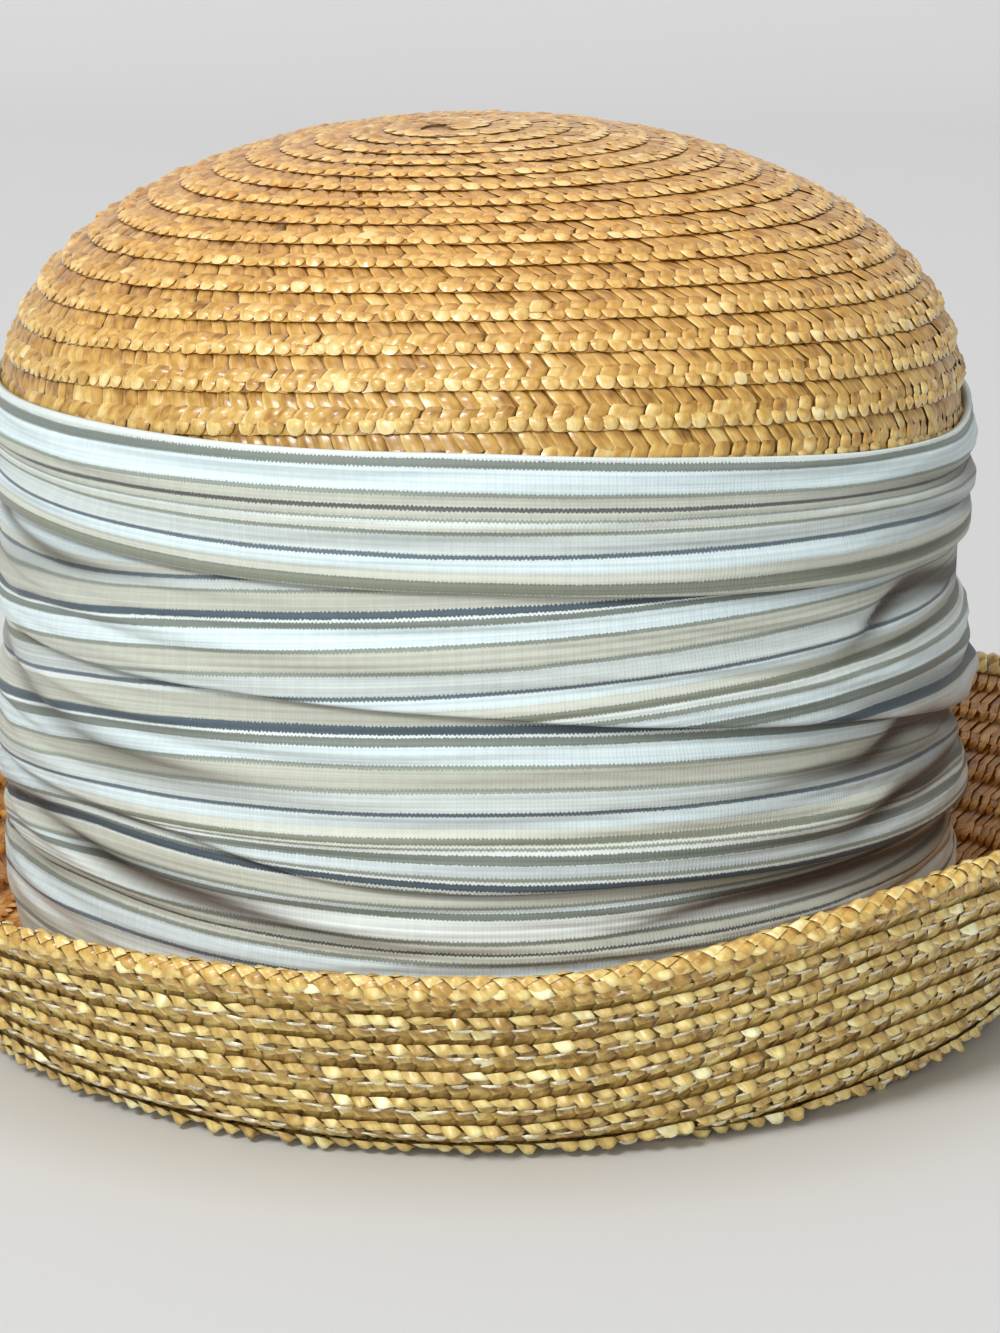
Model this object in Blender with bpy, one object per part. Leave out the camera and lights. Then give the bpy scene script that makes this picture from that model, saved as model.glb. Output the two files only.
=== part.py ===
"""Straw cloche hat: a domed crown and an upturned brim of sewn straw braid, and a draped knit band.

Metres, +Z up, the front of the hat faces -Y. Azimuth runs from the front (0) by the right side
(+X, a quarter turn) to the back. The hat rests on the flat ring under the brim, at z = 0.
"""
import math

import bmesh
import bpy

# The crown, measured on its outer face.
CROWN_HALF_WIDTH = 0.0884
CROWN_HALF_LENGTH = 0.0980
CROWN_TOP = 0.1596
DOME_HEIGHT = 0.0490
DOME_PLAN_POWER = 2.0
DOME_RISE_POWER = 2.15
HEADLINE_HEIGHT = 0.0110
WALL_TAPER = 0.0022

# The straw braid: rows sewn one over the next, each with a proud lower edge.
STRAW_WALL = 0.0016
ROW_PITCH = 0.0068
ROW_STEP = 0.0008
ROW_LIP = 0.0006
SEAM_GAP = 0.0003

# The brim, measured on its outer face.
BRIM_HALF_WIDTH = 0.1260
BRIM_HALF_LENGTH = 0.1250
BRIM_EDGE_HEIGHT = 0.0345
BRIM_ROWS = 9
BRIM_PLAIN_ROWS = 3
BRIM_ROW_START_SHARE = 0.12
BRIM_ROW_END_SHARE = 0.94
BRIM_LEAD = 0.0010
TROUGH_HALF_WIDTH = 0.0930
TROUGH_HALF_LENGTH = 0.1000
TROUGH_FLAT = 0.0040

# The draped band.
BAND_GAP = 0.0003
BAND_WALL = 0.0010
BAND_FOOT = 0.0130
BAND_HEIGHT = 0.1015
FOLD_DEPTH = 0.0024
PUFF_DEPTH = 0.0030
PUFF_HEIGHT_SHARE = 0.44
PUFF_SIZE_SHARE = 0.10
PUFF_AZIMUTH_DEG = 94
PUFF_SPREAD_DEG = 9

# How finely the faces are cut.
SEGMENTS = 48
DOME_STEPS = 120
WALL_STEPS = 40
INNER_DOME_RINGS = 10
WALL_RINGS = 2
TURN_STEPS = 4
FACE_STEPS = 40
ROLL_INNER_RINGS = 5
FACE_INNER_RINGS = 9
FOLD_RINGS = 4

# Height of the brim's edge round the hat, as shares of BRIM_EDGE_HEIGHT.
EDGE_HEIGHTS = (
    # side, share
    ("front", 1.00),
    ("right_front", 1.30),
    ("right", 1.36),
    ("right_back", 1.14),
    ("back", 1.03),
    ("left_back", 0.92),
    ("left", 0.97),
    ("left_front", 1.00),
)

# The curve of the brim's face from the trough to the edge: control points, as shares of what is
# left of the brim beyond the trough, and of the edge's height.
FACE_CURVE = (
    # out, up
    (0.00, 0.00),
    (0.28, 0.00),
    (0.38, 0.26),
    (1.00, 1.00),
)

# The creases of the band, as shares of BAND_HEIGHT above its foot, and how far the cloth above
# each one stands out, as a share of FOLD_DEPTH.
CREASES = (
    # name, front, right, back, left, bulge
    ("foot", 0.00, 0.00, 0.00, 0.00, 0.45),
    ("low_tuck", 0.18, 0.08, 0.13, 0.15, 0.60),
    ("shadow_fold", 0.28, 0.17, 0.30, 0.22, 0.90),
    ("right_tuck", 0.43, 0.26, 0.42, 0.36, 0.55),
    ("middle_fold", 0.58, 0.38, 0.52, 0.50, 0.80),
    ("side_tuck", 0.68, 0.55, 0.64, 0.61, 0.50),
    ("upper_fold", 0.78, 0.69, 0.75, 0.72, 0.65),
    ("top_edge", 1.00, 0.95, 0.96, 0.98, 0.00),
)


def remove_all():
    """Removes whatever objects the scene holds."""
    for old in list(bpy.data.objects):
        bpy.data.objects.remove(old, do_unlink=True)


def make_material(name, colour, roughness):
    """A plain Principled BSDF material."""
    material = bpy.data.materials.new(name)
    material.use_nodes = True
    shader = material.node_tree.nodes["Principled BSDF"]
    shader.inputs["Base Color"].default_value = (*colour, 1.0)
    shader.inputs["Roughness"].default_value = roughness
    shader.inputs["Metallic"].default_value = 0.0
    return material


def azimuths():
    """The azimuths at which every piece is cut."""
    return [math.tau * index / SEGMENTS for index in range(SEGMENTS)]


def oval_radius(azimuth, half_width, half_length):
    """Distance of an oval from the axis."""
    return 1.0 / math.hypot(math.sin(azimuth) / half_width, math.cos(azimuth) / half_length)


def wall_radius(azimuth, height):
    """Distance of the crown's outer wall from the axis, which closes in a little downwards."""
    shoulder = CROWN_TOP - DOME_HEIGHT
    below = max(shoulder - height, 0.0) / (shoulder - HEADLINE_HEIGHT)
    return oval_radius(azimuth, CROWN_HALF_WIDTH, CROWN_HALF_LENGTH) - WALL_TAPER * below


def place(azimuth, radius, height):
    """A point from its azimuth, its distance from the axis and its height."""
    return (radius * math.sin(azimuth), -radius * math.cos(azimuth), height)


def between_stations(values, azimuth):
    """Blends smoothly through values that stand at equal azimuths round the hat."""
    position = (azimuth % math.tau) / math.tau * len(values)
    before = int(position) % len(values)
    after = (before + 1) % len(values)
    share = (1.0 - math.cos(math.pi * (position - int(position)))) / 2
    return values[before] + (values[after] - values[before]) * share


def lofted(name, rings, material, start_pole=None, end_pole=None):
    """One closed solid through rings of equal count: ended by poles, or joined end to end."""
    mesh = bmesh.new()
    rows = [[mesh.verts.new(point) for point in ring] for ring in rings]
    pairs = list(zip(rows, rows[1:]))
    if start_pole is None:
        pairs.append((rows[-1], rows[0]))
    for upper, lower in pairs:
        for index in range(len(upper)):
            after = (index + 1) % len(upper)
            mesh.faces.new((upper[index], upper[after], lower[after], lower[index]))
    for pole, row in ((start_pole, rows[0]), (end_pole, rows[-1])):
        if pole is None:
            continue
        centre = mesh.verts.new(pole)
        for index in range(len(row)):
            mesh.faces.new((centre, row[index], row[(index + 1) % len(row)]))
    bmesh.ops.recalc_face_normals(mesh, faces=mesh.faces)
    data = bpy.data.meshes.new(name)
    mesh.to_mesh(data)
    mesh.free()
    for polygon in data.polygons:
        polygon.use_smooth = True
    data.materials.append(material)
    piece = bpy.data.objects.new(name, data)
    bpy.context.collection.objects.link(piece)
    return piece


def measured(points):
    """Adds to each point of a profile its distance along it."""
    lengths = [0.0]
    for (r0, z0), (r1, z1) in zip(points, points[1:]):
        lengths.append(lengths[-1] + math.hypot(r1 - r0, z1 - z0))
    return lengths


def point_along(points, lengths, length, inset):
    """A profile's point at a length along it, moved by inset to the left of its direction."""
    index = 1
    while index < len(points) - 1 and lengths[index] < length:
        index += 1
    r0, z0 = points[index - 1]
    r1, z1 = points[index]
    step = lengths[index] - lengths[index - 1]
    share = (length - lengths[index - 1]) / step
    out_r, out_z = (r1 - r0) / step, (z1 - z0) / step
    radius = r0 + (r1 - r0) * share - out_z * inset
    height = z0 + (z1 - z0) * share + out_r * inset
    return radius, height


def crown_profile(azimuth):
    """The crown's outer face from its top to its base, as (radius, height)."""
    shoulder = CROWN_TOP - DOME_HEIGHT
    wall = wall_radius(azimuth, shoulder)
    base = HEADLINE_HEIGHT + SEAM_GAP
    points = []
    for index in range(DOME_STEPS + 1):
        share = math.sin(math.pi / 2 * index / DOME_STEPS)
        rise = (1.0 - share ** DOME_PLAN_POWER) ** (1.0 / DOME_RISE_POWER) if index < DOME_STEPS else 0.0
        points.append((wall * share, CROWN_TOP - DOME_HEIGHT * (1.0 - rise)))
    for index in range(1, WALL_STEPS + 1):
        height = shoulder + (base - shoulder) * index / WALL_STEPS
        points.append((wall_radius(azimuth, height), height))
    return points


def shown_row_count():
    """How many rows of braid lie above the lowest part of the band's top edge."""
    lowest_edge = BAND_FOOT + BAND_HEIGHT * min(CREASES[-1][1:5])
    points = crown_profile(0.0)
    lengths = measured(points)
    reach = max(length for length, point in zip(lengths, points) if point[1] > lowest_edge)
    return math.ceil(reach / ROW_PITCH)


def crown_tip_stations():
    """The tip's rings: its stepped rows of braid and its inner face, as (kind, value, inset)."""
    inner = ROW_STEP + STRAW_WALL
    stations = []
    for row in range(shown_row_count()):
        stations.append(("row", max(row * ROW_PITCH, ROW_LIP), ROW_STEP))
        stations.append(("row", (row + 1) * ROW_PITCH - ROW_LIP, 0.0))
    tip_end = shown_row_count() * ROW_PITCH - ROW_LIP
    for ring in range(INNER_DOME_RINGS):
        stations.append(("row", tip_end * (1.0 - ring / INNER_DOME_RINGS), inner))
    return stations


def crown_wall_stations():
    """The wall's rings: down its outer face and up its inner face."""
    inner = ROW_STEP + STRAW_WALL
    stations = [("wall", ring / WALL_RINGS, 0.0) for ring in range(WALL_RINGS + 1)]
    stations.append(("wall", 1.0, inner))
    stations.append(("wall", 0.0, inner))
    return stations


def crown_rings(stations):
    """The rings of one part of the crown, placed along the crown's profile."""
    wall_start = shown_row_count() * ROW_PITCH - ROW_LIP + SEAM_GAP
    rings = [[] for _ in stations]
    for azimuth in azimuths():
        points = crown_profile(azimuth)
        lengths = measured(points)
        for ring, (kind, value, inset) in zip(rings, stations):
            length = value if kind == "row" else wall_start + (lengths[-1] - wall_start) * value
            ring.append(place(azimuth, *point_along(points, lengths, length, -inset)))
    return rings


def make_crown(material):
    """The crown, hollow and open below: its domed tip and the wall that the band covers."""
    top = (0.0, 0.0, CROWN_TOP)
    ceiling = (0.0, 0.0, CROWN_TOP - ROW_STEP - STRAW_WALL)
    tip_rings = crown_rings(crown_tip_stations())
    lofted("crown_tip", tip_rings, material, start_pole=top, end_pole=ceiling)
    lofted("crown_wall", crown_rings(crown_wall_stations()), material)


def brim_edge_height(azimuth):
    """Height of the brim's edge."""
    return BRIM_EDGE_HEIGHT * between_stations([share for _, share in EDGE_HEIGHTS], azimuth)


def brim_profile(azimuth):
    """The brim's outer face: down from the headline, along the flat it rests on and up."""
    wall = wall_radius(azimuth, HEADLINE_HEIGHT)
    inside = wall - STRAW_WALL - ROW_STEP
    trough = oval_radius(azimuth, TROUGH_HALF_WIDTH, TROUGH_HALF_LENGTH)
    points = [(inside, HEADLINE_HEIGHT)]
    for index in range(TURN_STEPS + 1):
        turn = math.pi / 2 * index / TURN_STEPS
        radius = inside + (trough - inside) * (1.0 - math.cos(turn))
        points.append((radius, (HEADLINE_HEIGHT - BRIM_LEAD) * (1.0 - math.sin(turn))))
    flat_end = trough + TROUGH_FLAT
    points.append((flat_end, 0.0))
    reach = oval_radius(azimuth, BRIM_HALF_WIDTH, BRIM_HALF_LENGTH) - flat_end
    for index in range(1, FACE_STEPS + 1):
        share = index / FACE_STEPS
        weights = ((1 - share) ** 3, 3 * share * (1 - share) ** 2, 3 * share ** 2 * (1 - share), share ** 3)
        out = sum(weight * point[0] for weight, point in zip(weights, FACE_CURVE))
        rise = sum(weight * point[1] for weight, point in zip(weights, FACE_CURVE))
        points.append((flat_end + reach * out, brim_edge_height(azimuth) * rise))
    return points


def brim_roll_stations():
    """The roll's rings: down its turn, out along the flat and back over its upper face."""
    thickness = ROW_STEP + STRAW_WALL
    stations = [("turn", index, 0.0) for index in range(TURN_STEPS + 2)]
    stations.append(("roll", 1.0, 0.0))
    for ring in range(ROLL_INNER_RINGS):
        stations.append(("roll", 1.0 - ring / (ROLL_INNER_RINGS - 1), thickness))
    return stations


def brim_face_stations():
    """The face's rings: up its stepped rows, over its edge and down its inner face."""
    thickness = ROW_STEP + STRAW_WALL
    face_rows = BRIM_ROWS - BRIM_PLAIN_ROWS
    stations = [("face", 0.0, 0.0)]
    for row in range(face_rows):
        stations.append(("face", (row + BRIM_ROW_START_SHARE) / face_rows, ROW_STEP))
        stations.append(("face", (row + BRIM_ROW_END_SHARE) / face_rows, 0.0))
    stations.append(("face", 1.0, ROW_STEP / 2))
    for ring in range(FACE_INNER_RINGS):
        stations.append(("face", 1.0 - ring / (FACE_INNER_RINGS - 1), thickness))
    return stations


def brim_rings(stations):
    """The rings of one part of the brim, placed along the brim's profile."""
    rings = [[] for _ in stations]
    for azimuth in azimuths():
        points = brim_profile(azimuth)
        lengths = measured(points)
        face_start = lengths[TURN_STEPS + 2]
        for ring, (kind, value, inset) in zip(rings, stations):
            if kind == "turn":
                ring.append(place(azimuth, *points[value]))
                continue
            length = (face_start - SEAM_GAP) * value
            if kind == "face":
                length = face_start + (lengths[-1] - face_start) * value
            ring.append(place(azimuth, *point_along(points, lengths, length, inset)))
    return rings


def make_brim(material):
    """The upturned brim: the plain rows that roll down from the crown, and the rising face."""
    lofted("brim_roll", brim_rings(brim_roll_stations()), material)
    lofted("brim_face", brim_rings(brim_face_stations()), material)


def puff(azimuth, share):
    """How far the small gathered puff at the right side lifts the band."""
    along = (math.degrees(azimuth) - PUFF_AZIMUTH_DEG) / PUFF_SPREAD_DEG
    up = (share - PUFF_HEIGHT_SHARE) / PUFF_SIZE_SHARE
    return PUFF_DEPTH * math.exp(-along * along - up * up)


def band_rings():
    """The band's rings: up its pleated outer face and down its smooth inner face."""
    creases = [row[1:5] for row in CREASES]
    bulges = [row[5] for row in CREASES]
    stations = []
    for fold in range(len(CREASES) - 1):
        for ring in range(FOLD_RINGS):
            stations.append((fold, ring / FOLD_RINGS, True))
    last = len(CREASES) - 2
    stations.append((last, 1.0, True))
    stations.append((last, 1.0, False))
    for fold in range(last, -1, -1):
        stations.append((fold, 0.0, False))
    rings = []
    for fold, share, outside in stations:
        ring = []
        for azimuth in azimuths():
            low = between_stations(creases[fold], azimuth)
            high = between_stations(creases[fold + 1], azimuth)
            level = low + (high - low) * share
            height = BAND_FOOT + BAND_HEIGHT * level
            radius = wall_radius(azimuth, height) + BAND_GAP
            if outside:
                swell = math.sqrt(4.0 * share * (1.0 - share))
                radius += BAND_WALL + FOLD_DEPTH * bulges[fold] * swell + puff(azimuth, level)
            ring.append(place(azimuth, radius, height))
        rings.append(ring)
    return rings


def make_band(material):
    """The draped band round the wall of the crown."""
    return lofted("draped_band", band_rings(), material)


def main():
    """Builds the hat."""
    remove_all()
    straw = make_material("crown_straw", (0.64, 0.40, 0.13), 0.45)
    brim_straw = make_material("brim_straw", (0.62, 0.46, 0.19), 0.45)
    knit = make_material("band_knit", (0.58, 0.64, 0.65), 0.75)
    make_crown(straw)
    make_brim(brim_straw)
    make_band(knit)


main()
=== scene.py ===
"""Looks of the straw cloche hat: sewn straw braid, a draped striped knit, and the studio round it.

Metres, +Z up, the front of the hat faces -Y. Azimuth runs from the front (0) by the right side
(+X, a quarter turn) to the back. Tile tables are in millimetres.
"""
import math

import bpy
import numpy as np
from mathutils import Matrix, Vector


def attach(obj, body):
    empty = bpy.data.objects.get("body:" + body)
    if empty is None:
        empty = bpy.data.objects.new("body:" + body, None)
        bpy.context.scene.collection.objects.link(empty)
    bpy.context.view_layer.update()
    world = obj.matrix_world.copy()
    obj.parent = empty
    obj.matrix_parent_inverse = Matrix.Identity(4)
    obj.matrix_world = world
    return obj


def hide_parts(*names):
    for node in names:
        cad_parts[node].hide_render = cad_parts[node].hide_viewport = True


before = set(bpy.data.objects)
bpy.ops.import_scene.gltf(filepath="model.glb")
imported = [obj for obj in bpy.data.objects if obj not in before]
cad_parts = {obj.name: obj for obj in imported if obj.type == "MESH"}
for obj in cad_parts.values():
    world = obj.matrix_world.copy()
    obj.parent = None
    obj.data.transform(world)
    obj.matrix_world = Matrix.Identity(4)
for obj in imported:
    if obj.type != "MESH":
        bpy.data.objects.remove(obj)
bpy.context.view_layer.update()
rng = np.random.default_rng(11)

MM = 0.001
TAU = math.tau

# The hat's shape, as in the part.
CROWN_HALF_WIDTH = 0.0884
CROWN_HALF_LENGTH = 0.0980
CROWN_TOP = 0.1596
DOME_HEIGHT = 0.0490
DOME_PLAN_POWER = 2.0
DOME_RISE_POWER = 2.15
HEADLINE_HEIGHT = 0.0110
WALL_TAPER = 0.0022
STRAW_THICKNESS = 0.0024
ROW_PITCH = 0.0068
BRIM_HALF_WIDTH = 0.1260
BRIM_HALF_LENGTH = 0.1250
BRIM_EDGE_HEIGHT = 0.0345
BRIM_LEAD = 0.0010
BRIM_PITCH = 0.0063
BRIM_FIRST_ROW = 0.0009
TROUGH_HALF_WIDTH = 0.0930
TROUGH_HALF_LENGTH = 0.1000
TROUGH_FLAT = 0.0040
EDGE_HEIGHTS = (1.00, 1.30, 1.36, 1.14, 1.03, 0.92, 0.97, 1.00)
FACE_CURVE = ((0.00, 0.00), (0.28, 0.00), (0.38, 0.26), (1.00, 1.00))

# How far the centre of the braid's spiral lies from the crown's middle.
SPIRAL_SHIFT_X = -0.0070
SPIRAL_SHIFT_Y = -0.0090
STRAW_PITCH = 0.00305
BRIM_STRAW_PITCH = 0.0033
RIM_STRAW_PITCH = 0.0038

# How strands differ: the share of pale ones, painted highlights picked at random, and by how much,
# the spread and limit of size and tilt, the spread and limits of lift, and the spread of tone between
# strands and between tiles.
HIGHLIGHT_STRAND_SHARE = 0.11
HIGHLIGHT_STRAND_TONE = 0.55
SIZE_SPREAD = 0.07
SIZE_LIMIT = 0.14
TILT_SPREAD = 0.08
TILT_LIMIT = 0.18
LIFT_SPREAD = 0.30
LEAST_SWELL = 0.4
MOST_SWELL = 1.8
STRAND_TONE_SPREAD = 0.18
TILE_TONE_SPREAD = 0.09
SEED_SPAN = 50.0
SKIN_TONE = -0.30


def oval_radius(azimuth, half_width, half_length):
    """Distance of an oval from the axis."""
    return 1.0 / np.hypot(np.sin(azimuth) / half_width, np.cos(azimuth) / half_length)


def wall_radius(azimuth, height):
    """Distance of the crown's outer wall from the axis."""
    shoulder = CROWN_TOP - DOME_HEIGHT
    below = np.maximum(shoulder - height, 0.0) / (shoulder - HEADLINE_HEIGHT)
    return oval_radius(azimuth, CROWN_HALF_WIDTH, CROWN_HALF_LENGTH) - WALL_TAPER * below


def around(values, azimuth):
    """Blends smoothly through values at equal azimuths round the hat."""
    position = (azimuth % TAU) / TAU * len(values)
    before = int(position) % len(values)
    after = (before + 1) % len(values)
    share = (1.0 - math.cos(math.pi * (position - int(position)))) / 2
    return values[before] + (values[after] - values[before]) * share


def resample(r, z, step, count):
    """A profile at equal lengths along it, held at its end, and its whole length."""
    lengths = np.concatenate(([0.0], np.cumsum(np.hypot(np.diff(r), np.diff(z)))))
    wanted = np.minimum(np.arange(count) * step, lengths[-1])
    return np.interp(wanted, lengths, r), np.interp(wanted, lengths, z), lengths[-1]


class Sheet:
    """A curved surface, known by its points over azimuth and length along its profile."""

    def __init__(self, points, step, totals, flip=False):
        self.points = points
        self.step = step
        self.totals = totals
        self.columns = points.shape[0] - 1
        body = points[:-1]
        along = (np.roll(body, -1, axis=0) - np.roll(body, 1, axis=0)) / 2
        along = np.concatenate((along, along[:1]))
        self.stretch = np.linalg.norm(along, axis=2) * self.columns / TAU
        across = np.gradient(points, axis=1)
        normal = np.cross(across, along)
        if flip:
            normal = -normal
        size = np.linalg.norm(normal, axis=2, keepdims=True)
        normal = normal / np.maximum(size, 1e-12)
        bad = size[:, :, 0] < 1e-12
        for column in range(normal.shape[0]):
            good = np.nonzero(~bad[column])[0]
            for row in np.nonzero(bad[column])[0]:
                normal[column, row] = normal[column, good[np.argmin(abs(good - row))]]
        self.normals = normal

    def look(self, table, azimuth, length):
        """Blends a table at azimuths and lengths."""
        a = (azimuth % TAU) / TAU * self.columns
        i = np.minimum(a.astype(int), self.columns - 1)
        fa = a - i
        s = np.clip(length / self.step, 0.0, table.shape[1] - 1.001)
        j = s.astype(int)
        fs = s - j
        if table.ndim == 3:
            fa, fs = fa[..., None], fs[..., None]
        low = table[i, j] * (1 - fs) + table[i, j + 1] * fs
        high = table[i + 1, j] * (1 - fs) + table[i + 1, j + 1] * fs
        return low * (1 - fa) + high * fa

    def place(self, azimuth, length, lift):
        """Points on the surface, lifted along its normal."""
        normals = self.look(self.normals, azimuth, length)
        return self.look(self.points, azimuth, length) + normals * lift[..., None]

    def total(self, azimuth):
        """Length of the profile at azimuths."""
        grid = np.linspace(0.0, TAU, len(self.totals))
        return np.interp(azimuth % TAU, grid, self.totals)


def turned(radius, height, azimuth):
    """Points from a profile at one azimuth."""
    return np.stack((radius * math.sin(azimuth), -radius * math.cos(azimuth), height), axis=-1)


def dome_profile(azimuth, inset):
    """The crown's profile from its top to its base, moved inwards by inset."""
    wall = float(wall_radius(azimuth, CROWN_TOP - DOME_HEIGHT))
    share = np.sin(np.linspace(0.0, math.pi / 2, 300))
    rise = np.maximum(1.0 - share ** DOME_PLAN_POWER, 0.0) ** (1.0 / DOME_RISE_POWER)
    r = wall * share
    z = CROWN_TOP - DOME_HEIGHT * (1.0 - rise)
    heights = np.linspace(CROWN_TOP - DOME_HEIGHT, HEADLINE_HEIGHT, 60)[1:]
    r = np.concatenate((r, wall_radius(azimuth, heights)))
    z = np.concatenate((z, heights))
    if inset:
        dr, dz = np.gradient(r), np.gradient(z)
        size = np.hypot(dr, dz)
        r, z = r + dz / size * inset, z - dr / size * inset
        r[0] = 0.0
        r = np.maximum(r, 0.0)
    return r, z


def crown_sheet(inset, shifted):
    """The crown's face, its rows centred a little off the middle where shifted."""
    step, count, columns = 0.0005, 450, 240
    points = np.zeros((columns + 1, count, 3))
    totals = np.zeros(columns + 1)
    lengths = np.arange(count) * step
    for column in range(columns + 1):
        azimuth = TAU * column / columns
        r, z = dome_profile(azimuth, inset)
        shoulder = np.interp(CROWN_TOP - DOME_HEIGHT, z[::-1], np.arange(len(z))[::-1])
        whole = np.concatenate(([0.0], np.cumsum(np.hypot(np.diff(r), np.diff(z)))))
        shoulder_length = np.interp(shoulder, np.arange(len(z)), whole)
        r, z, totals[column] = resample(r, z, step, count)
        place = turned(r, z, azimuth)
        if shifted:
            fade = np.clip(1.0 - lengths / shoulder_length, 0.0, 1.0)
            x = place[:, 0] + SPIRAL_SHIFT_X * fade
            y = place[:, 1] + SPIRAL_SHIFT_Y * fade
            oval = oval_radius(np.arctan2(x, -y), CROWN_HALF_WIDTH, CROWN_HALF_LENGTH) - inset
            share = np.clip(np.hypot(x, y) / oval, 0.0, 1.0)
            rise = np.maximum(1.0 - share ** DOME_PLAN_POWER, 0.0) ** (1.0 / DOME_RISE_POWER)
            dome = CROWN_TOP - DOME_HEIGHT * (1.0 - rise) - inset * np.minimum(rise * 4.0, 1.0)
            on_dome = lengths < shoulder_length
            place[on_dome] = np.stack((x, y, dome), axis=-1)[on_dome]
        points[column] = place
    return Sheet(points, step, totals, flip=inset > 0)


def brim_profile(azimuth, inset):
    """The brim's profile from its edge down to the headline, moved inwards by inset."""
    inside = float(wall_radius(azimuth, HEADLINE_HEIGHT)) - STRAW_THICKNESS
    trough = float(oval_radius(azimuth, TROUGH_HALF_WIDTH, TROUGH_HALF_LENGTH))
    turn = np.linspace(0.0, math.pi / 2, 12)
    r = np.concatenate(([inside], inside + (trough - inside) * (1.0 - np.cos(turn))))
    z = np.concatenate(([HEADLINE_HEIGHT], (HEADLINE_HEIGHT - BRIM_LEAD) * (1.0 - np.sin(turn))))
    flat_end = trough + TROUGH_FLAT
    reach = float(oval_radius(azimuth, BRIM_HALF_WIDTH, BRIM_HALF_LENGTH)) - flat_end
    edge = BRIM_EDGE_HEIGHT * around(EDGE_HEIGHTS, azimuth)
    share = np.linspace(0.0, 1.0, 60)
    rest = 1 - share
    weights = (rest ** 3, 3 * share * rest ** 2, 3 * share ** 2 * rest, share ** 3)
    out = sum(weight * point[0] for weight, point in zip(weights, FACE_CURVE))
    rise = sum(weight * point[1] for weight, point in zip(weights, FACE_CURVE))
    r = np.concatenate((r, flat_end + reach * out))
    z = np.concatenate((z, edge * rise))
    if inset:
        dr, dz = np.gradient(r), np.gradient(z)
        size = np.maximum(np.hypot(dr, dz), 1e-9)
        r, z = r - dz / size * inset, z + dr / size * inset
    return r[::-1], z[::-1]


def brim_sheet(inset):
    """One face of the brim, by its length down from the edge."""
    step, count, columns = 0.0005, 162, 240
    points = np.zeros((columns + 1, count, 3))
    totals = np.zeros(columns + 1)
    for column in range(columns + 1):
        azimuth = TAU * column / columns
        r, z, totals[column] = resample(*brim_profile(azimuth, inset), step, count)
        points[column] = turned(r, z, azimuth)
    return Sheet(points, step, totals, flip=inset > 0)


def rim_sheet(outer, inner, reach, proud, rise):
    """The round of the brim's edge, from its inner face over to its outer face."""
    columns, count = 240, 25
    points = np.zeros((columns + 1, count, 3))
    zero = np.array(0.0)
    low = np.array(reach)
    for column in range(columns + 1):
        azimuth = np.array(TAU * column / columns)
        front = outer.place(azimuth, low, zero)
        back = inner.place(azimuth, low, zero)
        top = (outer.place(azimuth, zero, zero) + inner.place(azimuth, zero, zero)) / 2
        centre = (front + back) / 2
        side = front - centre
        side = side * (1.0 + proud / np.linalg.norm(side))
        up = top - centre
        up = up * (1.0 + rise / np.linalg.norm(up))
        angle = np.linspace(math.pi * 1.08, -math.pi * 0.08, count)[:, None]
        points[column] = centre + side * np.cos(angle) + up * np.sin(angle)
    size = np.linalg.norm(np.diff(points, axis=1), axis=2).sum(axis=1).mean()
    return Sheet(points, size / (count - 1), np.full(columns + 1, size)), size


def grid_quads(rows, columns):
    """Quads of a grid whose points run column by column within each row."""
    index = np.arange(rows * columns).reshape(rows, columns)
    corners = (index[:-1, :-1], index[1:, :-1], index[1:, 1:], index[:-1, 1:])
    return np.stack(corners, axis=-1).reshape(-1, 4)


def leaf(corners, lifts, dome, rounding, rows, columns, tone, ridge=None):
    """One strand of a tile: corners top left, top right, bottom right, bottom left, and their lifts.

    The strand is domed, or has a ridge from side to side at a share of the way down it.
    """
    down, over = np.meshgrid(np.linspace(0, 1, rows), np.linspace(0, 1, columns), indexing="ij")
    down = down.ravel()
    over = over.ravel()
    side = 2 * over - 1
    fall = 2 * down - 1
    round_side = 0.5 + 0.5 * side * np.sqrt(1 - rounding * fall ** 2 / 2)
    round_fall = 0.5 + 0.5 * fall * np.sqrt(1 - rounding * side ** 2 / 2)
    blend = (
        (1 - round_fall) * (1 - round_side),
        (1 - round_fall) * round_side,
        round_fall * round_side,
        round_fall * (1 - round_side),
    )
    u = sum(weight * corner[0] for weight, corner in zip(blend, corners))
    v = sum(weight * corner[1] for weight, corner in zip(blend, corners))
    w = sum(weight * lift for weight, lift in zip(blend, lifts))
    if ridge is None:
        w = w + dome * np.sqrt(np.maximum((1 - side ** 2) * (1 - fall ** 2), 0.0))
    else:
        slopes = np.minimum(down / ridge, (1 - down) / (1 - ridge))
        w = w + dome * slopes * np.sqrt(np.maximum(1 - side ** 2, 0.0))
    quads = grid_quads(rows, columns)
    return {"u": u, "v": v, "w": w, "down": down, "over": over, "quads": quads, "tone": tone}


def tile_of(leaves):
    """Joins strands into one tile."""
    keys = ("u", "v", "w", "down", "over")
    tile = {key: np.concatenate([part[key] for part in leaves]) for key in keys}
    sizes = [len(part["u"]) for part in leaves]
    tile["part"] = np.repeat(np.arange(len(leaves)), sizes)
    offsets = np.cumsum([0] + sizes[:-1])
    tile["quads"] = np.concatenate([part["quads"] + offset for part, offset in zip(leaves, offsets)])
    tile["tones"] = np.array([part["tone"] for part in leaves])
    tile["middle_u"] = np.array([part["u"].mean() for part in leaves])
    tile["middle_v"] = np.array([part["v"].mean() for part in leaves])
    return tile


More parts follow.
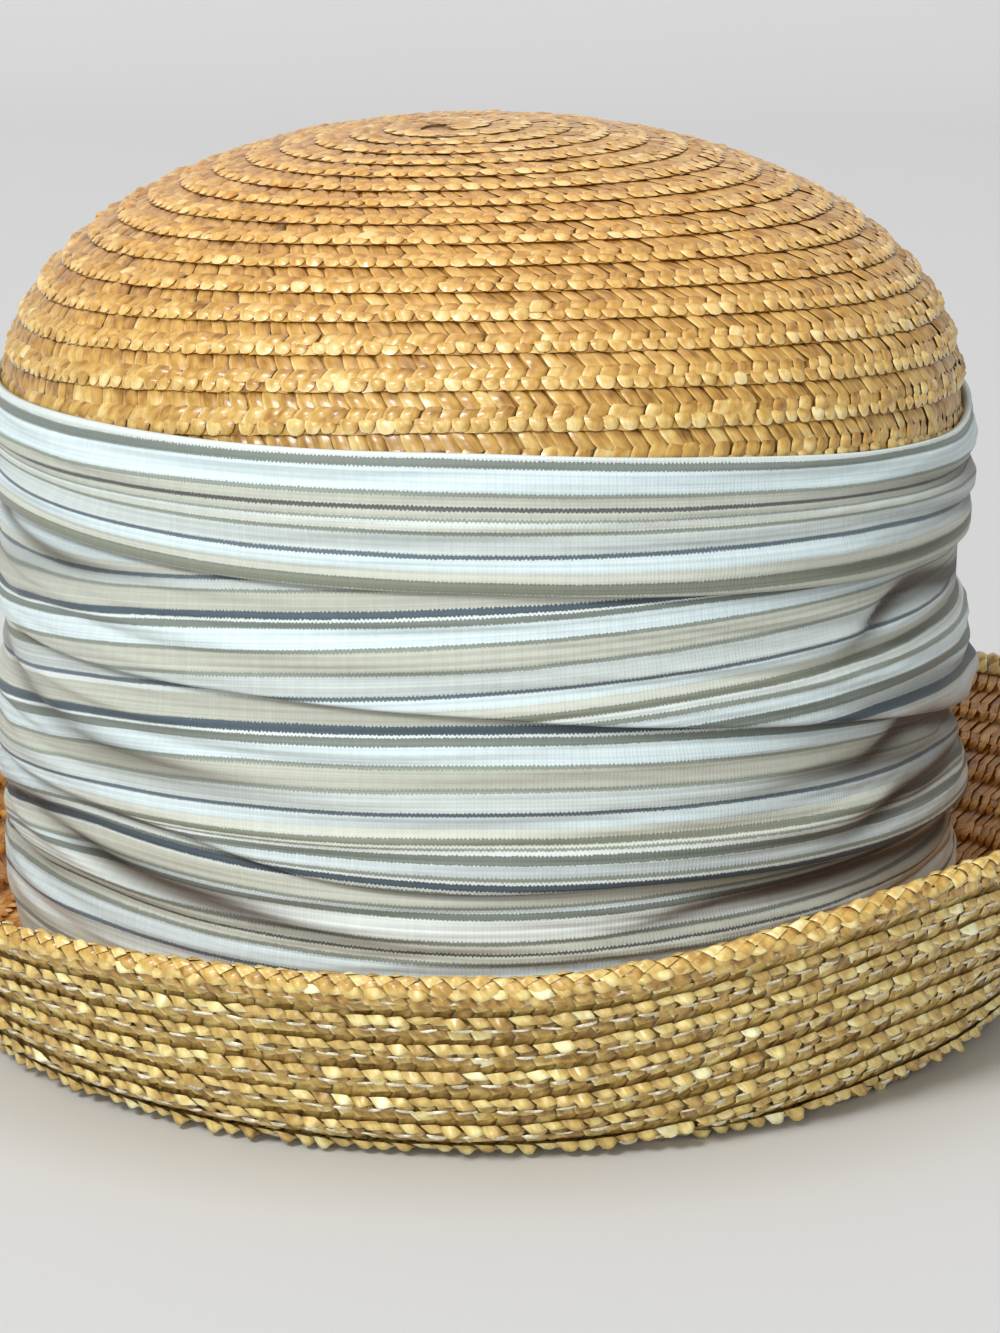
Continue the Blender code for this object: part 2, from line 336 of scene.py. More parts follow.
def make_piece(name, points, quads, material, floats=(), vectors=()):
    """A mesh piece from arrays, with its point attributes."""
    mesh = bpy.data.meshes.new(name)
    mesh.vertices.add(len(points))
    mesh.vertices.foreach_set("co", np.ascontiguousarray(points, np.float32).ravel())
    mesh.loops.add(quads.size)
    mesh.loops.foreach_set("vertex_index", np.ascontiguousarray(quads, np.int32).ravel())
    mesh.polygons.add(len(quads))
    mesh.polygons.foreach_set("loop_start", np.arange(0, quads.size, 4, dtype=np.int32))
    mesh.polygons.foreach_set("use_smooth", np.ones(len(quads), bool))
    mesh.update(calc_edges=True)
    for label, values in floats:
        mesh.attributes.new(label, "FLOAT", "POINT").data.foreach_set("value", values.astype(np.float32))
    for label, values in vectors:
        data = mesh.attributes.new(label, "FLOAT_VECTOR", "POINT").data
        data.foreach_set("vector", values.astype(np.float32).ravel())
    mesh.materials.append(material)
    piece = bpy.data.objects.new(name, mesh)
    bpy.context.scene.collection.objects.link(piece)
    return piece


def lay_tiles(name, sheet, centres, starts, slope, tile, base, material,
              wobble=0.16, tone_shift=None, relief=None):
    """Lays tiles along rows: centres are azimuths, starts the lengths at which each row begins."""
    count = len(centres)
    parts = len(tile["tones"])
    each = (count, parts)
    middle = starts + tile["v"].mean() * MM
    radius = np.maximum(sheet.look(sheet.stretch, centres, middle), 0.0015)
    shift = rng.normal(0.0, wobble, each) + rng.normal(0.0, wobble, (count, 1))
    size = 1.0 + np.clip(rng.normal(0.0, SIZE_SPREAD, each), -SIZE_LIMIT, SIZE_LIMIT)
    tilt = np.clip(rng.normal(0.0, TILT_SPREAD, each), -TILT_LIMIT, TILT_LIMIT)
    swell = np.clip(1.0 + rng.normal(0.0, LIFT_SPREAD, each), LEAST_SWELL, MOST_SWELL)
    index = tile["part"]
    from_u = (tile["u"] - tile["middle_u"][index])[None, :]
    from_v = (tile["v"] - tile["middle_v"][index])[None, :]
    size = size[:, index]
    tilt = tilt[:, index]
    u = (tile["middle_u"] + shift)[:, index] + size * (from_u - tilt * from_v)
    v = tile["middle_v"][index][None, :] + size * (from_v + tilt * from_u)
    w = base(v) + tile["w"][None, :] * swell[:, index]
    if relief is not None:
        w = w * relief[:, None]
    turn = u * MM / radius[:, None]
    azimuth = centres[:, None] + turn
    length = starts[:, None] + slope * turn + v * MM
    points = sheet.place(azimuth, length, w * MM)
    tone = tile["tones"][None, :] + rng.normal(0.0, STRAND_TONE_SPREAD, each)
    tone = tone + rng.normal(0.0, TILE_TONE_SPREAD, (count, 1))
    # Painted highlights: a random share of strands is made paler.
    tone = tone + HIGHLIGHT_STRAND_TONE * (rng.random(each) < HIGHLIGHT_STRAND_SHARE)
    if tone_shift is not None:
        tone = tone + tone_shift[:, None]
    seed = rng.random(each) * SEED_SPAN
    down = np.broadcast_to(tile["down"][None, :], u.shape)
    over = np.broadcast_to(tile["over"][None, :], u.shape)
    fibre = np.stack((down, over, seed[:, index]), axis=-1).reshape(-1, 3)
    first = (np.arange(count) * len(tile["u"]))[:, None, None]
    quads = (tile["quads"][None, :, :] + first).reshape(-1, 4)
    floats = (("tone", tone[:, index].ravel()),)
    return make_piece(name, points.reshape(-1, 3), quads, material, floats, (("fibre", fibre),))


def shell(name, sheet, first, rows, columns, lift, material):
    """A plain skin on a sheet, under the tiles."""
    azimuth = np.linspace(0.0, TAU, columns + 1)[None, :].repeat(rows, axis=0)
    share = np.linspace(0.0, 1.0, rows)[:, None]
    length = first + (sheet.total(azimuth) - first) * share
    azimuth = np.minimum(azimuth, TAU - 1e-9)
    points = sheet.place(azimuth, length, np.full(length.shape, lift))
    points[:, -1] = points[:, 0]
    tone = np.full(rows * (columns + 1), SKIN_TONE)
    seed = length / 0.004 + azimuth / 0.03
    fibre = np.stack((np.full(seed.shape, 0.6), np.full(seed.shape, 0.5), seed), axis=-1)
    quads = grid_quads(rows, columns + 1)
    vectors = (("fibre", fibre.reshape(-1, 3)),)
    return make_piece(name, points.reshape(-1, 3), quads, material, (("tone", tone),), vectors)


def spiral(sheet, first_turn, last_turn, pitch, straw):
    """Tile places along a spiral row: azimuths and row starts."""
    turns = np.arange(first_turn, last_turn, 1 / 720)
    radius = sheet.look(sheet.stretch, TAU * turns, pitch * (turns + 0.55))
    lengths = np.concatenate(([0.0], np.cumsum(np.maximum(radius, 0.002)[:-1] * TAU / 720)))
    wanted = np.arange(0.0, lengths[-1], straw)
    found = np.interp(wanted, lengths, turns)
    return TAU * found, pitch * found


def rings(sheet, first, pitch, count, straw, margin):
    """Tile places along closed rows: azimuths and row starts."""
    centres, starts = [], []
    for row in range(count):
        start = first + pitch * row
        grid = np.linspace(0.0, TAU, 721)[:-1]
        radius = sheet.look(sheet.stretch, grid, np.full(720, start + pitch / 2))
        lengths = np.concatenate(([0.0], np.cumsum(radius * TAU / 720)))
        tiles = int(round(lengths[-1] / straw))
        wanted = (np.arange(tiles) + rng.random()) / tiles * lengths[-1]
        found = np.interp(wanted, lengths, np.linspace(0.0, TAU, 721))
        kept = found[sheet.total(found) > start + pitch + margin]
        centres.append(kept)
        starts.append(np.full(len(kept), start))
    return np.concatenate(centres), np.concatenate(starts)


def lay_rings(name, sheet, first, count, straw, margin, tile, base, material,
              pitch=BRIM_PITCH, wobble=0.16):
    """Closed rows of tiles on a sheet."""
    centres, starts = rings(sheet, first, pitch, count, straw, margin)
    return lay_tiles(name, sheet, centres, starts, 0.0, tile, base, material, wobble=wobble)


# Materials.


def colour(red, green, blue):
    """A colour from its 0 to 255 screen values, as linear light."""
    values = []
    for value in (red, green, blue):
        share = value / 255
        values.append(share / 12.92 if share <= 0.04045 else ((share + 0.055) / 1.055) ** 2.4)
    return (*values, 1.0)


class Nodes:
    """Short calls for building a material's nodes."""

    def __init__(self, name):
        self.material = bpy.data.materials.new(name)
        self.material.use_nodes = True
        self.tree = self.material.node_tree
        self.shader = self.tree.nodes["Principled BSDF"]

    def link(self, value, socket):
        """Feeds a socket from another socket or from a plain value."""
        if isinstance(value, bpy.types.NodeSocket):
            self.tree.links.new(value, socket)
        else:
            socket.default_value = value

    def node(self, kind, inputs, **settings):
        """A new node with its settings and its inputs, given by place or name."""
        node = self.tree.nodes.new("ShaderNode" + kind)
        for name, value in settings.items():
            setattr(node, name, value)
        for place, value in inputs.items():
            self.link(value, node.inputs[place])
        return node

    def attribute(self, name, output="Fac"):
        """A point attribute."""
        return self.node("Attribute", {}, attribute_name=name).outputs[output]

    def math(self, operation, a, b=0.0, clamp=False):
        """One sum."""
        return self.node("Math", {0: a, 1: b}, operation=operation, use_clamp=clamp).outputs[0]

    def noise(self, vector, scale, detail=2.0, roughness=0.5):
        """Noise over a vector."""
        inputs = {"Vector": vector, "Scale": scale, "Detail": detail, "Roughness": roughness}
        return self.node("TexNoise", inputs).outputs["Fac"]

    def split(self, vector):
        """A vector's three parts."""
        return tuple(self.node("SeparateXYZ", {0: vector}).outputs)

    def join(self, x, y, z):
        """A vector from three parts."""
        return self.node("CombineXYZ", {0: x, 1: y, 2: z}).outputs[0]

    def ramp(self, value, stops, interpolation="LINEAR"):
        """A colour ramp from (position, colour) stops."""
        node = self.node("ValToRGB", {0: value})
        node.color_ramp.interpolation = interpolation
        elements = node.color_ramp.elements
        while len(elements) < len(stops):
            elements.new(1.0)
        for element, (position, tint) in zip(elements, stops):
            element.position = position
            element.color = tint
        return node.outputs[0]

    def mix(self, share, a, b, kind="MIX"):
        """Two colours mixed."""
        return self.node("Mix", {0: share, 6: a, 7: b}, data_type="RGBA", blend_type=kind).outputs[2]

    def times(self, a, b):
        """A product."""
        return self.math("MULTIPLY", a, b)

    def sway(self, value, source, middle, amount):
        """A value moved by a source's distance from its middle, times an amount."""
        part = self.times(self.math("SUBTRACT", source, middle), amount)
        return self.math("ADD", value, part)

    def spread(self, value, low, high, to_low, to_high):
        """Carries a value from one span to another, held at its ends."""
        spans = {0: value, 1: low, 2: high, 3: to_low, 4: to_high}
        return self.node("MapRange", spans).outputs[0]

    def bump(self, height, strength, distance):
        """Fine relief."""
        node = self.node("Bump", {"Strength": strength, "Distance": distance, "Height": height})
        self.link(node.outputs[0], self.shader.inputs["Normal"])

    def settle(self, values):
        """Sets plain inputs of the shader."""
        for name, value in values.items():
            self.shader.inputs[name].default_value = value


STRAW_STOPS = (
    (0.00, colour(92, 62, 26)),
    (0.20, colour(142, 104, 48)),
    (0.40, colour(182, 142, 74)),
    (0.60, colour(208, 173, 100)),
    (0.80, colour(228, 204, 138)),
    (1.00, colour(244, 232, 186)),
)


def straw_material(name, warmth, painted_top_light=None, contrast=0.42):
    """Plaited straw: a tone for each strand, fine fibres along it, painted shade towards each strand's top
    and along one side edge, a painted highlight along its other side edge and towards its foot, an optional
    painted top light, and gloss.
    """
    nodes = Nodes(name)
    tone = nodes.attribute("tone")
    down, over, seed = nodes.split(nodes.attribute("fibre", "Vector"))
    along = nodes.join(nodes.times(down, 1.4), nodes.times(over, 8.0), seed)
    streaks = nodes.noise(along, 1.0, 3.0, 0.6)
    broad = nodes.join(nodes.times(down, 1.5), nodes.times(over, 1.5), seed)
    patches = nodes.noise(broad, 1.0, 1.0)
    level = nodes.math("ADD", nodes.times(tone, contrast), 0.52)
    level = nodes.sway(level, streaks, 0.5, 0.30)
    level = nodes.sway(level, patches, 0.5, 0.85)
    # Painted shade towards each strand's top, by the groove, and painted light towards its foot.
    level = nodes.sway(level, down, 0.6, 0.22)
    # A painted highlight along one side edge of each strand, where the straw catches the light.
    painted_edge_highlight = nodes.spread(over, 0.0, 0.22, 0.26, 0.0)
    level = nodes.math("ADD", level, painted_edge_highlight)
    # Painted shade along the other side edge, where a strand tucks under its neighbour.
    painted_edge_shade = nodes.spread(over, 0.80, 1.0, 0.0, 0.26)
    level = nodes.math("SUBTRACT", level, painted_edge_shade, clamp=True)
    tint = nodes.ramp(level, STRAW_STOPS)
    # Painted top light: higher up the crown, the straw is tinted towards a more orange top tint.
    if painted_top_light:
        height = nodes.split(nodes.node("TexCoord", {}).outputs["Object"])[2]
        shade = nodes.mix(nodes.spread(height, 0.118, 0.150, 0.0, 1.0), warmth, painted_top_light)
    else:
        shade = warmth
    tint = nodes.mix(1.0, tint, shade, "MULTIPLY")
    nodes.link(tint, nodes.shader.inputs["Base Color"])
    nodes.link(nodes.spread(streaks, 0.3, 0.7, 0.24, 0.38), nodes.shader.inputs["Roughness"])
    nodes.settle({"Specular IOR Level": 0.6, "Coat Weight": 0.20, "Coat Roughness": 0.16})
    nodes.bump(streaks, 0.30, 0.00012)
    return nodes.material


def thread_material(name, tint):
    """Thin glossy sewing thread."""
    nodes = Nodes(name)
    down, over, seed = nodes.split(nodes.attribute("fibre", "Vector"))
    place = nodes.join(nodes.times(over, 6.0), nodes.times(down, 2.0), seed)
    twist = nodes.noise(place, 1.0, 1.0)
    shade = nodes.ramp(twist, ((0.3, colour(214, 204, 170)), (0.7, tint)))
    nodes.link(shade, nodes.shader.inputs["Base Color"])
    nodes.settle({"Roughness": 0.22, "Specular IOR Level": 0.7})
    nodes.bump(twist, 0.3, 0.00005)
    return nodes.material


# The straw tiles, in millimetres: u runs along the row to the right, v down from the row's start
# and w outwards. Columns of each strand: its corners, their lifts, dome, rounding, mesh rows, mesh
# columns, tone, and the ridge's place where the strand has one.


def crown_base(v):
    """How deep a row of the crown lies: tucked in at its start, proud at its end."""
    return -0.75 + 0.75 * np.clip(v / 6.0, -0.2, 1.0)


def brim_base(v):
    """How deep a row of the brim lies: proud at its start, tucked under the next row at its end."""
    return -0.85 * np.clip(v / 6.3, 0.0, 1.2)


def flat_base(v):
    """A row that lies level."""
    return 0.0 * v


def stitch_base(v):
    """A row of stitches, a little proud of the straw."""
    return 0.42 + 0.0 * v


def tile_from(strands):
    """A tile from its table of strands."""
    return tile_of([leaf(*strand) for strand in strands])


crown_tile = tile_from((
    (((2, 4.4), (3.6, 4.4), (4.6, 6.5), (1.8, 6.5)), (0, 0, -0.1, -0.1), 0.1, 0, 2, 2, -0.4),
    (((0.2, -0.9), (3.5, -0.9), (5.3, 2.9), (2, 2.9)), (0.2, 0.02, 0.1, 0.32), 0.55, 0.45, 4, 4, -0.24),
    (((2, 2.1), (5.4, 2.1), (4, 4.9), (0.6, 4.9)), (0.42, 0.1, 0.16, 0.44), 0.6, 0.5, 4, 4, 0.02),
    (((-0.2, 4.1), (3.4, 4.2), (2.8, 6.5), (0.5, 6.6)), (0.5, 0.4, 0.05, 0.1), 0.75, 0.7, 5, 5, 0.46, 0.4),
))
brim_tile = tile_from((
    (((1.5, 4.1), (5, 4.1), (3.9, 7), (0.4, 7)), (0.1, 0.32, 0.27, 0.05), 0.2, 0.1, 3, 4, -0.38),
    (((0.2, 2.5), (3.8, 2.5), (4.8, 4.9), (1.2, 4.9)), (0.38, 0.1, 0.15, 0.42), 0.22, 0.1, 3, 4, -0.28),
    (((1, 1), (4.5, 1.1), (3.9, 3), (1.8, 3.1)), (0.25, 0.35, 0.25, 0.15), 0.4, 0.6, 4, 4, -0.26),
    (((-0.4, -0.2), (2.9, -0.9), (4.3, 1.1), (1.5, 1.7)), (-0.05, 0.25, 0.5, 0.25), 1.2, 0.3, 5, 5, 0.3, 0.5),
))
plain_tile = tile_from((
    (((0, -0.7), (3.5, -0.7), (5.4, 3), (1.9, 3)), (0.24, -0.05, 0.05, 0.34), 0.16, 0, 2, 2, -0.05),
    (((1.75, 2.35), (5.2, 2.35), (3.9, 4.9), (0.45, 4.9)), (0.36, 0.1, 0.16, 0.42), 0.2, 0, 3, 2, 0.05),
    (((0.1, 4.35), (3.35, 4.45), (2.65, 6.35), (0.95, 6.6)), (0.5, 0.34, 0.1, 0.2), 0.42, 0.6, 3, 3, 0.15),
))
inner_tile = tile_from((
    (((0, -0.7), (3.5, -0.7), (5.4, 3), (1.9, 3)), (0.24, -0.05, 0.05, 0.34), 0.26, 0.2, 3, 3, -0.05),
    (((1.75, 2.35), (5.2, 2.35), (3.9, 4.9), (0.45, 4.9)), (0.36, 0.1, 0.16, 0.42), 0.34, 0.3, 3, 3, 0.05),
    (((0.1, 4.25), (3.35, 4.35), (2.65, 6.55), (0.95, 6.7)), (0.6, 0.44, 0.1, 0.2), 0.65, 0.5, 4, 4, 0.15),
))
stitch_tile = tile_from((
    (((0, -0.24), (3.3, -0.24), (3.3, 0.24), (0, 0.24)), (-0.1, -0.1, -0.1, -0.1), 0.45, 0.3, 3, 6, 0),
))

crown_straw = straw_material("crown_straw_braid", (1.02, 0.96, 0.82, 1.0), (1.10, 0.86, 0.61, 1.0), 0.33)
brim_straw = straw_material("brim_straw_braid", (1.17, 1.33, 1.46, 1.0))
brim_edge_straw = straw_material("brim_edge_straw_braid", (1.06, 1.04, 0.88, 1.0))
# The brim's inner face lies in shade by the band: its copy of the straw is darker and oranger, a painted warm
# shade.
brim_inner_shaded_straw = straw_material("brim_inner_straw_braid", (1.0, 0.66, 0.40, 1.0))
thread = thread_material("sewing_thread", colour(248, 244, 224))

# Crown: a spiral of rows outside and inside, each over a plain skin. Outside, the strands are flatter
# towards the top and painted paler there, a painted top light.
FIRST_TURN = 0.03
OUTSIDE_TURNS = 18.6
INSIDE_FIRST_TURN = 0.12
INSIDE_TURNS = 31.0
PALE_TOP_REACH = 0.112
SKIN_START = 0.0001

crown_face = crown_sheet(0.0, True)
crown_inner_face = crown_sheet(STRAW_THICKNESS, False)
centres, starts = spiral(crown_face, FIRST_TURN, OUTSIDE_TURNS, ROW_PITCH, STRAW_PITCH)
# Painted top light: the strands are made paler towards the crown's top.
fade = np.clip(starts / PALE_TOP_REACH, 0.0, 1.0)
crown_braid = lay_tiles("crown_braid", crown_face, centres, starts, ROW_PITCH / TAU, crown_tile,
                        crown_base, crown_straw, tone_shift=0.20 - 0.16 * fade, relief=0.40 + 0.60 * fade)
crown_skin = shell("crown_under_braid", crown_face, SKIN_START, 60, 160, -0.0008, crown_straw)
centres, starts = spiral(crown_inner_face, INSIDE_FIRST_TURN, INSIDE_TURNS, ROW_PITCH, STRAW_PITCH * 1.15)
kept = starts + ROW_PITCH < crown_inner_face.total(centres) + 0.004
centres = centres[kept]
starts = starts[kept]
crown_inside = lay_tiles("crown_inside_braid", crown_inner_face, centres, starts, ROW_PITCH / TAU,
                         plain_tile, crown_base, crown_straw, tone_shift=np.full(len(starts), -0.1))
crown_inner_skin = shell("crown_inner_skin", crown_inner_face, SKIN_START, 50, 120, -0.0009, crown_straw)

# Brim: closed rows outside and inside, each over a plain skin, and more rows where the roll is long.
FACE_ROWS = 11
ROLL_ROWS = 2
OUTER_MARGIN = -0.0055
INNER_MARGIN = -0.0020
RIM_REACH = 0.0030
RIM_PROUD = 0.0004
RIM_RISE = 0.0005
ROLL_START = BRIM_FIRST_ROW + FACE_ROWS * BRIM_PITCH

brim_outer = brim_sheet(0.0)
brim_inner = brim_sheet(STRAW_THICKNESS)
brim_braid = lay_rings("brim_outer_braid", brim_outer, BRIM_FIRST_ROW, FACE_ROWS, BRIM_STRAW_PITCH,
                       OUTER_MARGIN, brim_tile, brim_base, brim_straw)
brim_roll_braid = lay_rings("brim_roll_braid", brim_outer, ROLL_START, ROLL_ROWS, BRIM_STRAW_PITCH,
                            OUTER_MARGIN, brim_tile, brim_base, brim_straw)
brim_skin = shell("brim_under_braid", brim_outer, 0.0, 40, 160, -0.0010, brim_straw)
brim_inside = lay_rings("brim_inner_braid", brim_inner, 0.0012, FACE_ROWS, STRAW_PITCH * 1.1,
                        INNER_MARGIN, inner_tile, crown_base, brim_inner_shaded_straw)
brim_inner_skin = shell("brim_inner_skin", brim_inner, 0.0, 40, 160, -0.0009, brim_inner_shaded_straw)

# The brim's edge: folded diamonds from its inner face over to its outer face.
rim, rim_size = rim_sheet(brim_outer, brim_inner, RIM_REACH, RIM_PROUD, RIM_RISE)

# Columns: place along the row in millimetres, share of the way over the edge, dome, tone.
RIM_DIAMONDS = (
    (0.0, 0.93, 0.30, -0.10),
    (1.9, 0.08, 0.30, -0.10),
    (0.0, 0.30, 0.50, 0.02),
    (1.9, 0.50, 0.60, 0.14),
    (0.0, 0.71, 0.80, 0.12),
)


def rim_leaf(middle, share, dome, tone):
    """A folded diamond of the brim's edge."""
    at = rim_size / MM * share
    left = (middle - 1.9, at - 0.5)
    top = (middle + 0.5, at - 1.7)
    right = (middle + 2.1, at + 0.4)
    low = (middle - 0.2, at + 1.8)
    return leaf((left, top, right, low), (0.10, 0.15, 0.20, 0.25), dome, 0.10, 5, 4, tone, 0.55)


rim_tile = tile_of([rim_leaf(*diamond) for diamond in RIM_DIAMONDS])
rim_skin = shell("brim_edge_skin", rim, 0.0, 9, 240, -0.0002, brim_edge_straw)
rim_braid = lay_rings("brim_edge_braid", rim, 0.0, 1, RIM_STRAW_PITCH, -0.01, rim_tile, flat_base,
                      brim_edge_straw, pitch=rim_size, wobble=0.08)

# Sewing thread: short stitches under each row's proud edge.
brim_thread = lay_rings("brim_stitches", brim_outer, BRIM_FIRST_ROW + 0.0023, 9, 0.0052, INNER_MARGIN,
                        stitch_tile, stitch_base, thread, wobble=0.35)

# Band.

KNIT_COLOURS = {
    "white": (228, 238, 234),
    "pale_blue": (218, 234, 236),
    "pale_grey": (202, 212, 209),
    "cream": (213, 219, 206),
    "beige": (194, 198, 184),
    "sage": (128, 138, 130),
    "thin_sage": (146, 155, 144),
    "olive": (136, 142, 126),
    "navy": (82, 97, 107),
    "dotted_navy": (104, 119, 128),
    "charcoal": (96, 100, 98),
}

# The stripes of the cloth in each panel between two folds: colour and where it ends, in
# millimetres down the cloth from the panel's zero.
PANEL_STRIPES = (
    (("white", 0.9), ("sage", 2.3), ("pale_blue", 6.2), ("thin_sage", 7), ("beige", 8.5),
     ("charcoal", 9.2), ("beige", 10.5), ("thin_sage", 11), ("white", 11.6), ("cream", 12.6),
     ("thin_sage", 13.2), ("pale_grey", 16.5), ("dotted_navy", 17.3), ("pale_blue", 19.4),
     ("cream", 21), ("olive", 22.9), ("beige", 40)),
    (("pale_blue", 12.4), ("pale_blue", 14.6), ("cream", 16.4), ("dotted_navy", 16.9),
     ("pale_grey", 18.3), ("thin_sage", 18.8), ("beige", 21.8), ("navy", 23.1), ("white", 23.6),
     ("sage", 24.7), ("pale_blue", 28), ("thin_sage", 28.6), ("beige", 32.2), ("thin_sage", 32.9),
     ("pale_grey", 36.1), ("dotted_navy", 36.9), ("pale_blue", 39), ("cream", 40.9), ("olive", 42.2),
     ("white", 43.5), ("thin_sage", 44.3), ("pale_blue", 46.6), ("sage", 48.3), ("pale_blue", 50.6),
     ("navy", 52.2), ("pale_grey", 60)),
    (("cream", 9), ("olive", 10.4), ("pale_grey", 13.8), ("dotted_navy", 14.4), ("white", 15.2),
     ("beige", 18.9), ("navy", 20.3), ("white", 20.8), ("sage", 22.1), ("pale_blue", 25.3),
     ("thin_sage", 26), ("beige", 29.2), ("thin_sage", 29.8), ("pale_grey", 32.9),
     ("dotted_navy", 33.6), ("pale_blue", 36), ("cream", 37.6), ("olive", 38.8), ("cream", 39.3),
     ("thin_sage", 39.8), ("white", 40.4), ("sage", 42), ("pale_blue", 44.2), ("thin_sage", 45),
     ("white", 45.4), ("navy", 46.6), ("white", 47.1), ("sage", 49), ("beige", 60)),
    (("cream", 8), ("pale_blue", 13), ("thin_sage", 13.6), ("white", 14.6), ("sage", 15.2),
     ("navy", 16.6), ("white", 17.1), ("cream", 20.6), ("thin_sage", 21.2), ("pale_blue", 22),
     ("sage", 23), ("white", 26.6), ("thin_sage", 27.2), ("cream", 28.6), ("charcoal", 29.2),
     ("cream", 30.4), ("thin_sage", 31), ("pale_blue", 34.2), ("dotted_navy", 34.8), ("white", 38),
     ("cream", 40), ("thin_sage", 41), ("cream", 60)),
)
PANEL_SPAN = 60.0

# Where known stripes lie in each panel: millimetres down the cloth, then the height in
# millimetres at each azimuth of GUIDE_AZIMUTHS.
GUIDE_AZIMUTHS = (-90.0, -67.5, -45.0, -22.5, 0.0, 22.5, 45.0, 67.5, 90.0)
PANEL_GUIDES = (
    (
        (0.0, 114.9, 115.0, 115.7, 115.8, 116.1, 113.7, 110.2, 108.0, 110.5),
        (1.6, 112.4, 112.5, 113.2, 114.2, 114.5, 112.2, 109.0, 106.8, 109.0),
        (8.9, 105.8, 106.0, 106.2, 107.0, 107.3, 105.7, 103.3, 100.6, 99.5),
        (16.9, 101.9, 101.5, 99.9, 99.5, 99.3, 98.7, 97.6, 95.2, 93.5),
        (21.9, 97.0, 96.9, 95.9, 94.9, 94.3, 92.4, 90.9, 90.0, 89.5),
    ),
    (
        (16.7, 86.0, 88.6, 89.6, 93.8, 96.0, 99.0, 98.0, 97.0, 96.0),
        (22.4, 77.5, 79.7, 83.6, 87.8, 90.4, 90.9, 90.0, 89.0, 88.5),
        (24.0, 75.8, 78.0, 82.0, 86.1, 88.8, 90.2, 89.2, 88.2, 87.6),
        (28.3, 71.0, 73.3, 77.5, 81.8, 84.8, 86.7, 86.9, 86.0, 85.0),
        (32.5, 67.0, 69.3, 73.5, 77.8, 80.7, 82.8, 83.8, 84.0, 83.0),
        (36.5, 63.0, 65.3, 69.5, 73.8, 76.5, 78.9, 79.6, 80.5, 79.8),
        (42.0, 57.2, 59.5, 63.8, 68.2, 71.4, 74.3, 75.0, 75.6, 75.0),
        (51.4, 49.0, 51.0, 55.0, 59.5, 62.5, 64.5, 65.4, 63.2, 60.0),
    ),
    (
        (14.1, 64.5, 66.2, 71.3, 74.6, 77.0, 76.0, 73.0, 67.0, 62.0),
        (19.6, 58.0, 60.4, 65.1, 68.6, 70.4, 68.9, 64.5, 58.0, 54.0),
        (25.7, 51.5, 54.0, 59.3, 62.4, 64.0, 62.6, 60.0, 56.0, 51.5),
        (33.2, 46.5, 49.0, 53.0, 54.9, 56.3, 55.4, 53.4, 51.0, 47.0),
        (38.2, 42.5, 45.0, 48.8, 50.2, 51.6, 50.4, 48.2, 46.6, 43.0),
        (46.0, 38.5, 41.5, 45.4, 44.6, 43.4, 42.5, 40.5, 39.4, 37.4),
    ),
    (
        (15.8, 33.2, 40.6, 45.4, 44.0, 43.5, 44.5, 43.8, 43.0, 41.0),
        (22.5, 29.5, 35.8, 38.8, 38.4, 37.8, 38.6, 38.0, 37.5, 36.0),
        (28.9, 28.5, 32.0, 33.4, 32.4, 31.4, 32.4, 32.5, 31.5, 30.0),
        (34.6, 22.0, 25.4, 27.3, 26.8, 25.8, 26.6, 27.0, 26.0, 24.5),
    ),
)

# The folds that hide cloth, from the top down. Columns: name, how far the cloth above stands out at
# its lip, how much cloth lies hidden and how far the shade reaches, in millimetres, and then the
# fold's course as azimuth in degrees, height in millimetres and strength.
FOLDS = (
    ("fold_b", 2, 3, 1,
     ((-180, 94, 0.8), (-135, 95.5, 0.9), (-90, 95.8, 1), (-67, 95.9, 1), (-45, 94.9, 1),
      (-22, 93.8, 0.8), (0, 93.3, 0.6), (22, 91.1, 0.7), (45, 88.8, 0.9), (67, 87.9, 1), (90, 87.5, 1),
      (112, 88.5, 1), (135, 90.5, 0.9), (157, 92.5, 0.8))),
    ("fold_c", 2.2, 3.5, 1.3,
     ((-180, 67.5, 0.8), (-135, 71.5, 0.9), (-90, 72.5, 0.9), (-75, 74, 0.9), (-50, 73.8, 0.8),
      (-22, 74.3, 0.8), (0, 72.7, 0.8), (22, 68.8, 0.9), (45, 63.9, 1), (67, 57.4, 1.2),
      (80, 54.8, 1.3), (95, 54.5, 1.2), (112, 56, 1), (135, 59, 0.9), (157, 63.5, 0.8))),
    ("fold_d", 2.4, 3.5, 1.2,
     ((-180, 44, 0.8), (-135, 46.5, 0.9), (-90, 47.5, 1), (-70, 48.2, 1.1), (-56, 49, 1.1),
      (-42, 49.2, 1.1), (-32, 48.3, 1), (-24, 45.8, 0.8), (-16, 43.2, 0.6), (-8, 42.2, 0.6),
      (0, 42.1, 0.8), (16, 42.8, 0.9), (34, 41.3, 1), (43, 40.2, 1.1), (62, 39.8, 1.4), (81, 37.4, 1.4),
      (95, 37.1, 1.2), (112, 37.5, 1), (135, 39.5, 0.9), (157, 42, 0.8))),
)

